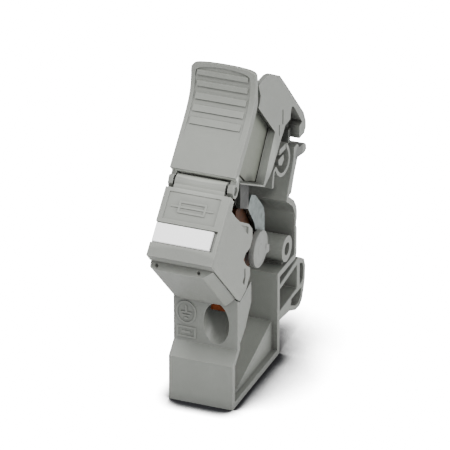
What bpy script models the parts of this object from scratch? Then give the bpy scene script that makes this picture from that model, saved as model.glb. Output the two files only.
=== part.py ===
"""Rail-mounted cartridge fuse holder, 16 mm wide.

Frame: the part stands on its flat end face. +Z runs up the housing, +X is the
open side, +Y points at the mounting rail. The origin is the centre of the end
face. All sizes are in millimetres. A place is given as
  across  position over the width, 0 at the closed side (-X) to 16 at the open side
  depth   distance towards the rail, 0 at the front of the end face
  height  distance above the end face
Outlines are (depth, height) points. Those wrapped in face() or faces() are
(rise, inset) points measured along and behind the 45 degree front face, and
those in slant() or slants() are (down, inset) on the slanted lower face.
"""
import math
from types import SimpleNamespace

import bmesh
import bpy
from mathutils import Matrix, Vector

# --------------------------------------------------------- driving dimensions
MM = 0.001
WIDTH = 16.0            # module width
FOOT_DEPTH = 30.0       # depth of the end face
X_MID = WIDTH / 2       # across value of the frame's X = 0
Y_MID = FOOT_DEPTH / 2  # depth value of the frame's Y = 0
GAP = 0.3               # clearance between neighbouring pieces
BEFORE = -1             # cutters that break through the closed side start here
BEYOND = WIDTH + 1      # cutters that break through the open side end here

WALL = 1.4              # outer walls of the housing
SKIN = 1.2              # closed side skins
INNER_RIGHT = WIDTH - SKIN
STEP_HEIGHT = 20.4      # underside of the step above the latch
SEAT_DEPTH = 41.1       # plane that rests on the rail's flanges
PLATE_INNER = 14.1      # inner face of the head's window plate

FACE_RISE = 57.0        # the front face lies on height - depth = FACE_RISE
COVER_SUM = 30.6        # the slanted lower face lies on depth + height = COVER_SUM
COVER_OFFSET = COVER_SUM / math.sqrt(2)

PIVOT = (1.8, 56.0)     # lever hinge (depth, height)
LEVER_ORIGIN = (X_MID, *PIVOT)
PIN_RADIUS = 0.8
PIN_BORE_RADIUS = PIN_RADIUS + GAP
COVER_PIVOT = (-8.6, 39.6)
DISC_CENTRE = (20.3, 32.2)  # earth link disc

FUSE_ACROSS = 8.0       # 5 x 20 mm cartridge under the lever
FUSE_INSET = 5.2
FUSE_START = 4.3        # rise of the lower end
FUSE_LENGTH = 20.0
FUSE_END = FUSE_START + FUSE_LENGTH
FUSE_RADIUS = 2.6

UP_CLAMP_ACROSS = 6.9   # upper clamp screw axis runs square to the front face
UP_SCREW_RISE = 26.9
LOW_CLAMP_ACROSS = 10.7  # lower clamp is centred on the conductor bore
LOW_SCREW_HEIGHT = 32.0

WELD_DISTANCE = 0.000002  # metres
FLAT_ANGLE = 0.002        # radians, faces flatter than this are merged

for old in list(bpy.data.objects):
    bpy.data.objects.remove(old, do_unlink=True)

PARTS = bpy.data.collections.new("cartridge_fuse_holder")
CUTTERS = bpy.data.collections.new("cutters")
bpy.context.scene.collection.children.link(PARTS)
bpy.context.scene.collection.children.link(CUTTERS)

# local x, y, z of a flat outline become world Y (depth), Z (height), X (across)
PROFILE_TURN = Matrix(((0, 0, 1), (1, 0, 0), (0, 1, 0))).to_4x4()
# exchanges across and depth
WIDTH_DEPTH_SWAP = Matrix((
    (0, 1, 0, (Y_MID - X_MID) * MM),
    (1, 0, 0, (X_MID - Y_MID) * MM),
    (0, 0, 1, 0),
    (0, 0, 0, 1)))


# --------------------------------------------------------------------- places
def at(across, depth, height):
    """World position of a place given in millimetres."""
    return Vector(((across - X_MID) * MM, (depth - Y_MID) * MM, height * MM))


def face(rise, inset):
    """(depth, height) of a point up the 45 degree front and behind it."""
    return ((rise + inset) / math.sqrt(2), FACE_RISE + (rise - inset) / math.sqrt(2))


def faces(points):
    return [face(*point) for point in points]


def face_rect(rise_a, rise_b, inset_a, inset_b):
    """Outline of a rectangle square to the front face."""
    return faces([(rise_a, inset_a), (rise_b, inset_a), (rise_b, inset_b), (rise_a, inset_b)])


def slant(down, inset):
    """(depth, height) of a point down the slanted lower face and behind it."""
    return ((COVER_OFFSET + inset + down) / math.sqrt(2),
            (COVER_OFFSET + inset - down) / math.sqrt(2))


def slants(points):
    return [slant(*point) for point in points]


def span(centre, half):
    """Both ends of a range about its centre."""
    return (centre - half, centre + half)


def along_fuse(rise):
    return (FUSE_ACROSS, *face(rise, FUSE_INSET))


def up_screw_axis(inset):
    return (UP_CLAMP_ACROSS, *face(UP_SCREW_RISE, inset))


def low_screw_axis(depth):
    return (LOW_CLAMP_ACROSS, depth, LOW_SCREW_HEIGHT)


# --------------------------------------------------------------------- curves
def ribbon(path, thickness):
    """Outline of a strip of even thickness along a (depth, height) path."""
    left, right = [], []
    for i, point in enumerate(path):
        before = path[max(i - 1, 0)]
        after = path[min(i + 1, len(path) - 1)]
        normals = []
        for start, end in ((before, point), (point, after)):
            length = math.hypot(end[0] - start[0], end[1] - start[1])
            if length > 1e-6:
                normals.append(((start[1] - end[1]) / length, (end[0] - start[0]) / length))
        mean_y = sum(normal[0] for normal in normals) / len(normals)
        mean_z = sum(normal[1] for normal in normals) / len(normals)
        square = mean_y * mean_y + mean_z * mean_z
        side_y = mean_y / square * thickness / 2
        side_z = mean_z / square * thickness / 2
        left.append((point[0] + side_y, point[1] + side_z))
        right.append((point[0] - side_y, point[1] - side_z))
    return left + right[::-1]


def smooth_path(points, steps):
    """Catmull-Rom points through a (depth, height) path."""
    path = []
    for i in range(len(points) - 1):
        before = points[max(i - 1, 0)]
        start, end = points[i], points[i + 1]
        after = points[min(i + 2, len(points) - 1)]
        for k in range(steps):
            share = k / steps
            path.append(tuple(
                0.5 * (2 * p1 + (p2 - p0) * share
                       + (2 * p0 - 5 * p1 + 4 * p2 - p3) * share * share
                       + (3 * p1 - p0 - 3 * p2 + p3) * share ** 3)
                for p0, p1, p2, p3 in zip(before, start, end, after)))
    path.append(points[-1])
    return path


def arch(start, end, base, rise, power, step):
    """(across, height) points of a flattened arch, a point every step degrees."""
    centre, half = (start + end) / 2, (end - start) / 2
    return [(centre + half * math.cos(math.radians(angle)),
             base + rise * math.sin(math.radians(angle)) ** power)
            for angle in range(180, -1, -step)]


# --------------------------------------------------------------------- solids
def new_object(name, mesh):
    obj = bpy.data.objects.new(name, mesh)
    PARTS.objects.link(obj)
    return obj


def as_tool(obj):
    """Turn a solid into a hidden helper for boolean modifiers."""
    PARTS.objects.unlink(obj)
    CUTTERS.objects.link(obj)
    obj.hide_render = True
    obj.display_type = "WIRE"
    return obj


def bmesh_to_mesh(name, solid):
    mesh = bpy.data.meshes.new(name)
    solid.to_mesh(mesh)
    solid.free()
    return mesh


def tidy(mesh):
    """Weld, merge flat faces and turn every face outwards."""
    solid = bmesh.new()
    solid.from_mesh(mesh)
    bmesh.ops.remove_doubles(solid, verts=solid.verts, dist=WELD_DISTANCE)
    bmesh.ops.dissolve_limit(solid, angle_limit=FLAT_ANGLE, verts=solid.verts,
                             edges=solid.edges)
    bmesh.ops.recalc_face_normals(solid, faces=solid.faces)
    solid.to_mesh(mesh)
    solid.free()


def slab(name, start, end, outline):
    """A flat (depth, height) outline given thickness across from start to end."""
    curve = bpy.data.curves.new(name + "_outline", "CURVE")
    curve.dimensions = "2D"
    curve.fill_mode = "BOTH"
    curve.extrude = (end - start) / 2 * MM
    spline = curve.splines.new("POLY")
    spline.points.add(len(outline) - 1)
    for point, (depth, height) in zip(spline.points, outline):
        point.co = (depth * MM, height * MM, 0, 1)
    spline.use_cyclic_u = True
    flat = bpy.data.objects.new(name + "_outline", curve)
    CUTTERS.objects.link(flat)
    bpy.context.view_layer.update()
    graph = bpy.context.evaluated_depsgraph_get()
    mesh = bpy.data.meshes.new_from_object(flat.evaluated_get(graph))
    bpy.data.objects.remove(flat, do_unlink=True)
    mesh.name = name
    mesh.transform(Matrix.Translation(at((start + end) / 2, 0, 0)) @ PROFILE_TURN)
    tidy(mesh)
    return new_object(name, mesh)


def box(name, across, depth, height):
    """An axis-aligned block from three (low, high) ranges."""
    low, high = (at(*corner) for corner in zip(across, depth, height))
    solid = bmesh.new()
    bmesh.ops.create_cube(solid, size=1.0)
    bmesh.ops.scale(solid, vec=high - low, verts=solid.verts)
    bmesh.ops.translate(solid, vec=(low + high) / 2, verts=solid.verts)
    return new_object(name, bmesh_to_mesh(name, solid))


def rod(name, start, end, radius, sides=24, end_radius=None):
    """A cylinder or cone between two places."""
    start, end = at(*start), at(*end)
    solid = bmesh.new()
    bmesh.ops.create_cone(
        solid, cap_ends=True, segments=sides, radius1=radius * MM,
        radius2=(radius if end_radius is None else end_radius) * MM,
        depth=(end - start).length)
    turn = (end - start).to_track_quat("Z", "Y").to_matrix().to_4x4()
    bmesh.ops.transform(solid, verts=solid.verts,
                        matrix=Matrix.Translation((start + end) / 2) @ turn)
    mesh = bmesh_to_mesh(name, solid)
    mesh.shade_smooth()
    mesh.set_sharp_from_angle(angle=math.radians(40))
    return new_object(name, mesh)


def cross_rod(name, start, end, centre, radius, sides=24):
    """A cylinder across the width, its axis at a (depth, height) centre."""
    return rod(name, (start, *centre), (end, *centre), radius, sides)


def slab_tool(*args):
    return as_tool(slab(*args))


def front_slab_tool(name, start, end, outline):
    """A helper from an (across, height) outline, thick from depth start to end."""
    obj = slab_tool(name, start, end, outline)
    obj.data.transform(WIDTH_DEPTH_SWAP)
    tidy(obj.data)
    return obj


def box_tool(*args):
    return as_tool(box(*args))


def rod_tool(*args, **options):
    return as_tool(rod(*args, **options))


def cross_rod_tool(*args):
    return as_tool(cross_rod(*args))


def slab_tools(prefix, table):
    """Helpers from a table of key: (across start, across end, outline)."""
    return SimpleNamespace(**{
        key: slab_tool(prefix + key, *entry) for key, entry in table.items()})


def loft_tool(name, ring_a, ring_b):
    """A closed helper between two rings of places with equal counts."""
    solid = bmesh.new()
    verts_a = [solid.verts.new(at(*place)) for place in ring_a]
    verts_b = [solid.verts.new(at(*place)) for place in ring_b]
    solid.faces.new(verts_a)
    solid.faces.new(list(reversed(verts_b)))
    for i in range(len(verts_a)):
        j = (i + 1) % len(verts_a)
        solid.faces.new((verts_a[j], verts_a[i], verts_b[i], verts_b[j]))
    bmesh.ops.recalc_face_normals(solid, faces=solid.faces)
    return as_tool(new_object(name, bmesh_to_mesh(name, solid)))


# ------------------------------------------------------ modifiers, finishing
def combine(obj, operation, *others):
    for other in others:
        step = obj.modifiers.new(other.name, "BOOLEAN")
        step.operation = operation
        step.solver = "EXACT"
        step.object = other


def cut(obj, *others):
    combine(obj, "DIFFERENCE", *others)


def join(obj, *others):
    combine(obj, "UNION", *others)


def finish(obj, mat, origin=None):
    """Give the material, and move the origin onto a joint, geometry unmoved."""
    obj.data.materials.append(mat)
    if origin:
        point = at(*origin)
        obj.data.transform(Matrix.Translation(-point))
        obj.location = point


def material(name, colour, roughness, metallic=0.0, transmission=0.0):
    mat = bpy.data.materials.new(name)
    mat.use_nodes = True
    shader = mat.node_tree.nodes["Principled BSDF"]
    shader.inputs["Base Color"].default_value = (*colour, 1)
    shader.inputs["Roughness"].default_value = roughness
    shader.inputs["Metallic"].default_value = metallic
    shader.inputs["Transmission Weight"].default_value = transmission
    return mat


def metal(name, colour, roughness=0.3):
    return material(name, colour, roughness, metallic=1.0)


GREY = material("housing_grey", colour=(0.41, 0.42, 0.40), roughness=0.5)
CARRIER_GREY = material("carrier_grey", colour=(0.44, 0.45, 0.43), roughness=0.5)
DARK = material("contact_block_grey", colour=(0.12, 0.13, 0.12), roughness=0.55)
WHITE = material("marker_white", colour=(0.85, 0.85, 0.85), roughness=0.55)
COPPER = metal("copper", colour=(0.55, 0.24, 0.12))
SILVER = metal("tinned_copper", colour=(0.62, 0.66, 0.66))
BRASS = metal("nickel_brass", colour=(0.72, 0.60, 0.34), roughness=0.25)
STEEL = metal("plated_steel", colour=(0.55, 0.56, 0.57))
GLASS = material("fuse_glass", colour=(0.80, 0.86, 0.84), roughness=0.05, transmission=1.0)
TAUPE = material("link_taupe", colour=(0.40, 0.38, 0.35), roughness=0.5)

# --------------------------------------------------------------- base housing
HOUSE = [
    (0, 0), (FOOT_DEPTH, 0), (FOOT_DEPTH, STEP_HEIGHT), (39.9, STEP_HEIGHT),
    (40.8, 20.8), (SEAT_DEPTH, 21.6), (SEAT_DEPTH, 28.3), (40.7, 28.6), (40.7, 30.2),
    (SEAT_DEPTH, 30.5), (SEAT_DEPTH, 32.6), (40.5, 34.4), (39.0, 36.4), (35.9, 38.7),
    (36.3, 40.3), (38.2, 43.3), (39.8, 46.5), (40.3, 50.2), (38.8, 50.2),
    (38.4, 51.8), (30.6, 52.0), (27.6, 50.6), (25.6, 49.6), (23.5, 48.6),
    (20.1, 47.4), (13.6, 47.4), (11.6, 44.6), (13.0, 42.0), (13.0, 38.7),
    (11.2, 36.6), (8.6, 36.4), (8.0, 35.8), (8.9, 34.7), (11.4, 32.7),
    (11.4, 29.8), (8.7, 26.9), (4.55, 26.1), (3.1, 27.1), (3.1, 14.3), (0, 11.4)]
# key: (across start, across end, outline)
HOUSING_TOOLS = {
    "hollow": (SKIN, BEYOND, [
        (WALL, WALL), (FOOT_DEPTH - WALL, WALL), (FOOT_DEPTH - WALL, 21.8),
        (39.2, 21.8), (39.7, 22.3), (39.7, 32.2), (39.2, 33.6), (38.0, 35.3),
        (34.2, 38.2), (35.0, 41.0), (37.0, 44.2), (38.5, 47.0), (38.9, 50.3),
        (38.9, 55.0), (2.0, 55.0), (2.0, 27.6), (4.5, 27.6), (4.5, 13.8), (WALL, 10.9)]),
    "ramp": (0.6, 14.5, [
        (5.2, 0.7), (5.2, 1.75), (26.8, 8.5), (29.2, 9.3), (29.2, 0.7)]),
    "conduit": (0.6, 15.6, [
        (3.6, 14.2), (6.2, 15.2), (9.0, 17.4), (12.6, 22.4), (12.6, 27.6),
        (4.6, 25.4), (3.6, 25.8)]),
    "boss_foot": (0.6, 15.2, [(33.4, 21.1), (35.8, 21.1), (36.6, 25.6), (32.6, 25.6)]),
    "locator": (12.4, WIDTH, [
        (39.2, 48.2), (39.2, 50.2), (41.0, 50.2), (42.4, 48.7), (45.8, 48.3),
        (46.8, 47.5), (47.0, 46.2), (45.6, 45.8), (41.0, 46.6)]),
    "web": (12.4, 14.8, [
        (38.3, 37.4), (40.4, 37.4), (42.4, 41.6), (45.6, 46.6), (45.6, 47.8),
        (40.0, 49.2), (38.8, 45.8), (36.2, 41.0)]),
    "neck_lip": (0.95, 15.35, [(3.1, 25.0), (3.1, 27.3), (3.7, 27.3), (3.7, 25.0)]),
}
BOSS_CENTRE = (34.6, 25.6)
BOSS_START = 0.6
BOSS_RADIUS = 3.2
BOSS_HOLE_START = 6.0
BOSS_HOLE_RADIUS = 1.6
# steep conductor bore that starts as a scoop on the neck's front
BORE_START = (LOW_CLAMP_ACROSS, 0.4, 16.6)
BORE_END = (LOW_CLAMP_ACROSS, 10.4, 29.9)
BORE_RADIUS = 3.2
# slot for the lip of the lower clamp cage: across, depth and height ranges
LIP_SLOT = (span(LOW_CLAMP_ACROSS, 2.4), (4.7, 6.2), (22.0, 29.0))


def build_housing():
    housing = slab("base_housing", 0, WIDTH, HOUSE)
    tool = slab_tools("housing_", HOUSING_TOOLS)
    boss = cross_rod_tool("housing_boss", BOSS_START, WIDTH, BOSS_CENTRE, BOSS_RADIUS, 32)
    boss_hole = cross_rod_tool("housing_boss_hole", BOSS_HOLE_START, BEYOND, BOSS_CENTRE,
                               BOSS_HOLE_RADIUS)
    bore = rod_tool("housing_bore", BORE_START, BORE_END, BORE_RADIUS, 36)
    lip_slot = box_tool("housing_lip_slot", *LIP_SLOT)
    cut(housing, tool.hollow)
    join(housing, tool.ramp, tool.conduit, tool.neck_lip, boss, tool.boss_foot,
         tool.web, tool.locator)
    cut(housing, boss_hole, bore, lip_slot)
    finish(housing, GREY)


# ----------------------------------------------------------------------- head
HEAD = [
    face(3.3, 3.3), face(4.6, 1.75), face(19.2, 1.75), (16.7, 71.7), (17.3, 73.2),
    (15.9, 76.4), (21.7, 76.4), (24.3, 75.7), (29.4, 73.0), (32.6, 69.8),
    (39.9, 62.1), (45.1, 56.6), (46.5, 53.8), (46.6, 52.1), (45.5, 51.0),
    (42.3, 51.0), (42.3, 54.3), (44.0, 54.6), (38.6, 61.0), (37.2, 61.6),
    (36.6, 60.4), (36.2, 58.8), (32.9, 58.6), (32.1, 57.7), (29.6, 55.6),
    (27.4, 53.4), (25.2, 51.3), (23.2, 50.1), (19.8, 48.8), face(3.0, 3.6)]
# key: (across start, across end, outline)
HEAD_TOOLS = {
    "back_plate": (0.5, 13.2, [
        (27.4, 53.6), (29.4, 55.8), (32.6, 58.8), (36.4, 59.2), (37.4, 61.8),
        (39.4, 61.2), (44.4, 55.2), (42.9, 54.0), (42.9, 53.4), (38.2, 53.3),
        (36.0, 52.6), (30.0, 52.8)]),
    "stub": (12.3, 13.4, [(11.2, 53.9), (16.4, 51.3), (16.4, 44.2), (11.2, 46.8)]),
    "pocket": (SKIN, PLATE_INNER, faces([
        (5.6, 0), (21.3, 0), (21.3, 18.7), (8.4, 19.4), (6.0, 12.5)])),
    "pocket_top": (11.9, 14.0, face_rect(21.0, 23.1, 3.0, 18.4)),
    "fuse_bay": (*span(FUSE_ACROSS, 4.2), faces([
        (3.4, -4), (25.4, -4), (25.4, 8.1), (24.6, 8.4), (23.8, 9.2), (22.0, 9.2),
        (22.0, 15.6), (8.0, 16.6), (4.2, 16.6), (1.6, 12.0)])),
    # two notches set the middle of the nose lower than its side plates
    "notch_a": (10.9, INNER_RIGHT, [
        (12, 73.0), (22.5, 73.0), (27.0, 69.5), (31.5, 65.0), (47, 65.0), (47, 90),
        (12, 90)]),
    "notch_b": (SKIN, 11.2, [
        (12, 75.0), (22.5, 75.0), (26.8, 72.4), (30.2, 68.9), (32.0, 66.3),
        (37.0, 65.6), (47, 65.0), (47, 90), (12, 90)]),
    "clamp_bay": (*span(UP_CLAMP_ACROSS, 3.3), face_rect(21.8, 29.2, 7.9, 13.6)),
}
# the window narrows from its outer to its inner (depth, height) outline
WINDOW_OUTER = [(14.0, 72.5), (26.4, 59.8), (19.3, 49.4), (3.2, 57.5)]
WINDOW_INNER = [(15.3, 73.2), (27.3, 60.6), (19.0, 50.0), (3.4, 57.9)]
WINDOW_OVERCUT = 0.2
DRIVER_INSETS = (-7.3, 8.33)
DRIVER_RADIUS = 1.83
ENTRY_RISES = (28.6, 31.4)  # conical conductor entry of the upper clamp
ENTRY_INSET = 10.9
ENTRY_RADII = (1.2, 2.2)
# across, depth and height ranges
SLITS = {
    "head_slit_a": ((14.4, BEYOND), (31.15, 31.75), (59.6, 63.4)),
    "head_slit_b": ((14.4, BEYOND), (28.95, 29.45), (57.6, 60.5)),
}
RAIL_LIP = ((0.5, 14.2), (39.6, 41.0), (50.5, 54.0))


def build_head():
    head = slab("head_frame", 0, WIDTH, HEAD)
    tool = slab_tools("head_", HEAD_TOOLS)
    window = loft_tool(
        "head_window",
        [(WIDTH + WINDOW_OVERCUT, *point) for point in WINDOW_OUTER],
        [(PLATE_INNER - WINDOW_OVERCUT, *point) for point in WINDOW_INNER])
    driver_start, driver_end = (up_screw_axis(inset) for inset in DRIVER_INSETS)
    driver_bore = rod_tool("head_driver_bore", driver_start, driver_end, DRIVER_RADIUS, 26)
    entry_start, entry_end = (
        (UP_CLAMP_ACROSS, *face(rise, ENTRY_INSET)) for rise in ENTRY_RISES)
    entry_bore = rod_tool("head_entry_bore", entry_start, entry_end, ENTRY_RADII[0], 28,
                          end_radius=ENTRY_RADII[1])
    slits = [box_tool(name, *ranges) for name, ranges in SLITS.items()]
    lip = box_tool("head_rail_lip", *RAIL_LIP)
    join(head, tool.back_plate, lip, tool.stub)
    cut(head, window, tool.pocket, tool.pocket_top, tool.fuse_bay, tool.notch_a,
        tool.notch_b, tool.clamp_bay, driver_bore, entry_bore, *slits)
    finish(head, GREY)


# -------------------------------------------------------------- front carrier
BAR_START, BAR_END = 1.7, 14.0  # hinge bar between the two lever arms
KNUCKLE_RADIUS = 1.9
KNUCKLE_NOTCH_RADIUS = KNUCKLE_RADIUS + 0.35
COVER_SWING_RADIUS = 3.0
COVER_SEAT_END = 15.7
CARRIER = [
    face(-1.6, 0.0), face(-18.5, 0.0), (-10.9, 41.6), (2.6, 27.9), (4.5, 26.5),
    (8.3, 27.6), (10.8, 30.2), (10.8, 32.1), (8.2, 34.1), (6.7, 36.1),
    (8.2, 37.2), (10.7, 37.3), (12.3, 39.1), (12.3, 41.5), (10.1, 43.8),
    (4.4, 47.1), (2.0, 49.2), (-0.6, 52.0), (0.2, 53.4), (1.0, 53.9)]
# key: (across start, across end, outline)
CARRIER_TOOLS = {
    "hollow": (SKIN, INNER_RIGHT, [
        face(-2.6, 1.6), face(-15.0, 1.6), (-9.2, 42.6), (3.4, 29.9), (6.0, 24.0),
        (14.0, 24.0), (14.0, 50.0), (3.0, 50.2), (0.4, 52.6)]),
    "back_open": (SKIN, INNER_RIGHT, [
        (1.0, 50.6), (14.0, 44.0), (14.0, 24.0), (2.0, 24.0), (-4.0, 34.0),
        (-4.0, 48.0)]),
    "cover_seat": (BEFORE, COVER_SEAT_END, [
        (-9.98, 42.42), (-11.6, 40.8), (2.0, 24.6), (4.0, 25.2), (4.6, 27.9)]),
    "driver_door": (4.0, 14.4, [(-5.5, 34.0), (0.8, 27.7), (5.0, 31.9), (-1.3, 38.2)]),
    "marker_groove": (BEFORE, 15.25, face_rect(-15.2, -10.1, -1.0, 1.0)),
    "plaque": (1.3, 14.0, face_rect(-9.2, -2.5, -1.0, 0.3)),
    "bar_neck": (BAR_START, BAR_END, faces([
        (-2.4, 0.6), (-0.6, 0.35), (0.6, 1.2), (0.6, 3.4), (-1.0, 3.6), (-3.2, 3.4)])),
    "side_notch": (14.3, BEYOND, [
        (7.3, 33.5), (7.9, 33.5), (8.0, 30.9), (7.2, 29.3), (6.1, 30.6), (7.1, 31.5)]),
    "side_patch": (15.5, BEYOND, [(5.0, 46.0), (10.0, 43.1), (9.6, 41.2)]),
}


def build_carrier():
    carrier = slab("front_carrier", 0, WIDTH, CARRIER)
    tool = slab_tools("carrier_", CARRIER_TOOLS)
    cover_swing = cross_rod_tool("carrier_cover_swing", BEFORE, COVER_SEAT_END, COVER_PIVOT,
                                 COVER_SWING_RADIUS, 40)
    bar = cross_rod_tool("carrier_hinge_bar", BAR_START, BAR_END, PIVOT, KNUCKLE_RADIUS, 40)
    notch_right = cross_rod_tool("carrier_hinge_notch_r", BAR_END, BEYOND, PIVOT,
                                 KNUCKLE_NOTCH_RADIUS, 40)
    notch_left = cross_rod_tool("carrier_hinge_notch_l", BEFORE, BAR_START, PIVOT,
                                KNUCKLE_NOTCH_RADIUS, 40)
    pin_bore = cross_rod_tool("carrier_pin_bore", BEFORE, BEYOND, PIVOT, PIN_BORE_RADIUS, 32)
    cut(carrier, tool.hollow, tool.back_open, tool.cover_seat, cover_swing,
        tool.driver_door, tool.marker_groove, tool.plaque, tool.side_notch,
        tool.side_patch)
    join(carrier, tool.bar_neck, bar)
    cut(carrier, notch_right, notch_left, pin_bore)
    finish(carrier, CARRIER_GREY)


# ------------------------------------------------ marker strip, slanted cover
MARKER = (0.3, 14.95, face_rect(-14.9, -10.4, -0.15, 0.7))
# a seat inside the carrier and a raised, bevelled plate in front of it
COVER_SEAT = (0.1, 15.4, slants([(-36.7, 0.9), (-36.7, 0.3), (-36.25, -1.0)]) + [
    (2.1, 27.1), (2.78, 27.1), (2.78, 27.65), (3.4, 27.95), (3.4, 28.6)])
COVER_PLATE = (0.1, 15.3, slants([(-36.5, -0.3), (-36.0, -1.7)]) + [
    (2.55, 25.646), (2.78, 25.8), (2.78, 27.2)] + slants([(-18.0, -0.3)]))
# (across, inset) sections of the side bevels, run between two down values
COVER_BEVELS = {
    "cover_bevel_r": [(13.1, -3.0), (13.1, -1.71), (15.5, 0.05), (17.0, 0.05), (17.0, -3.0)],
    "cover_bevel_l": [(2.2, -3.0), (2.2, -1.71), (-0.1, -1.2), (-1.0, -1.2), (-1.0, -3.0)],
}
BEVEL_ENDS = (-39.0, -14.0)


def build_marker():
    finish(slab("marker_strip", *MARKER), WHITE)


def build_cover():
    cover = slab("entry_cover", *COVER_SEAT)
    join(cover, slab_tool("cover_plate", *COVER_PLATE))
    for name, section in COVER_BEVELS.items():
        rings = [[(across, *slant(down, inset)) for across, inset in section]
                 for down in BEVEL_ENDS]
        cut(cover, loft_tool(name, *rings))
    finish(cover, CARRIER_GREY, (X_MID, *COVER_PIVOT))


# ---------------------------------------------------------------------- lever
LEVER_START = 2.75  # rise of the lever's lower end
# upper part of the lever's front face, bottom to top
LEVER_FRONT = [
    face(14.0, -1.05), (11.0, 69.7), (12.4, 71.5), (13.4, 73.3), (14.0, 75.2),
    (14.25, 77.2), (14.3, 81.0)]
LEVER = [face(LEVER_START, -1.0)] + LEVER_FRONT + [
    (15.1, 81.0), (15.45, 80.2), (15.45, 72.2), (14.9, 70.8), (13.6, 69.1),
] + faces([(15.0, 1.35), (4.4, 1.35), (LEVER_START, 1.35)])
LEVER_ARM = faces([
    (4.2, -1.0), (4.2, 1.35), (3.0, 2.6), (1.6, 3.55), (0.0, 3.7), (-0.9, 3.0),
    (-1.2, 1.6), (-0.5, 0.45), (0.9, 0.05), (1.45, 0.2), (1.7, 1.0), (2.8, 1.0),
    (2.8, -1.0)])
# key: (across start, across end, outline)
LEVER_TOOLS = {
    "arm_r": (14.6, WIDTH, LEVER_ARM),
    "arm_l": (0, 1.2, LEVER_ARM),
    "curl": (1.9, 13.8, faces([
        (3.3, 1.2), (2.82, 1.2), (2.82, 2.3), (2.66, 2.9), (2.25, 3.5), (2.5, 3.8),
        (3.0, 3.1), (3.25, 2.4)])),
}
# the lever's rounded top edge
CROWN_BASE = 78.3
CROWN = arch(-0.01, WIDTH + 0.01, CROWN_BASE, rise=2.6, power=0.45, step=10)
CROWN_DEPTHS = (8, 20)
# shallow dish inside a raised rim
DISH_START, DISH_END = 1.0, 14.7
DISH_SINK = 0.3
DISH_BOTTOM, DISH_TOP = 64.9, 80.4
DISH_HEIGHTS = (66.4, 68.0, 69.7, 71.5, 73.3, 75.2, 77.2, DISH_TOP)
DISH_ARCH = arch(DISH_START, DISH_END, 77.3, rise=2.75, power=0.5, step=15)
DISH_ARCH_FOOT = 60.0
# raised grip pads on the dish
PAD_HEIGHTS = (67.5, 69.8, 72.1, 74.85, 77.5)
PAD_RISE = 1.3
PAD_START, PAD_END = 1.6, 14.0


def lever_front(height):
    """Depth of the lever's front face at a height."""
    for (depth_a, height_a), (depth_b, height_b) in zip(LEVER_FRONT, LEVER_FRONT[1:]):
        if height_a <= height <= height_b:
            return depth_a + (depth_b - depth_a) * (height - height_a) / (height_b - height_a)
    # below the curve the front runs on at 45 degrees
    depth, start_height = LEVER_FRONT[0]
    return depth - (start_height - height)


def dish_tool():
    outline = [(lever_front(DISH_BOTTOM), DISH_BOTTOM)]
    outline += [(lever_front(height) + DISH_SINK, height) for height in DISH_HEIGHTS]
    outline += [(6.0, DISH_TOP), (1.0, DISH_BOTTOM)]
    dish = slab_tool("lever_dish", DISH_START, DISH_END, outline)
    dish_top = front_slab_tool(
        "lever_dish_top", 0, 20,
        [(DISH_START, DISH_ARCH_FOOT)] + DISH_ARCH + [(DISH_END, DISH_ARCH_FOOT)])
    combine(dish, "INTERSECT", dish_top)
    return dish


def pad_tool(number, height):
    low, high = lever_front(height), lever_front(height + PAD_RISE)
    return slab_tool("lever_pad_%d" % number, PAD_START, PAD_END, [
        (low - 0.12, height + 0.1), (low + 0.7, height - 0.2),
        (high + 0.8, height + PAD_RISE), (high - 0.05, height + 1.25)])


def build_lever():
    lever = slab("fuse_lever", 0, WIDTH, LEVER)
    tool = slab_tools("lever_", LEVER_TOOLS)
    pin_bore = cross_rod_tool("lever_pin_bore", BEFORE, BEYOND, PIVOT, PIN_BORE_RADIUS, 32)
    top = front_slab_tool(
        "lever_top", *CROWN_DEPTHS,
        [(-2, 84), (-2, CROWN_BASE)] + CROWN + [(WIDTH + 2, CROWN_BASE), (WIDTH + 2, 84)])
    join(lever, tool.arm_r, tool.arm_l, tool.curl)
    cut(lever, dish_tool())
    for number, height in enumerate(PAD_HEIGHTS):
        join(lever, pad_tool(number, height))
    cut(lever, pin_bore, top)
    finish(lever, CARRIER_GREY, LEVER_ORIGIN)


PIN_START, PIN_END = 0.35, 15.65


def build_hinge_pin():
    finish(cross_rod("lever_hinge_pin", PIN_START, PIN_END, PIVOT, PIN_RADIUS), STEEL)


# --------------------------------------------------- cartridge and its cradle
TUBE_SETBACK = 0.9      # glass and element end this far inside the cartridge
CAP_WELL_RADIUS = 2.45
TUBE_RADIUS = CAP_WELL_RADIUS - GAP
TUBE_BORE_RADIUS = 1.5
CAP_LENGTH = 5.0
CAP_END_WALL = 0.6
ELEMENT_RADIUS = 0.2
CRADLE = (*span(FUSE_ACROSS, 3.7), face_rect(10.3, 18.3, 1.7, 7.4))
CRADLE_MOUTH = (*span(FUSE_ACROSS, 2.1), face_rect(9, 20, FUSE_INSET, 9))
CRADLE_BORE_RISES = (9, 20)
CRADLE_BORE_RADIUS = FUSE_RADIUS + 0.1


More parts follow.
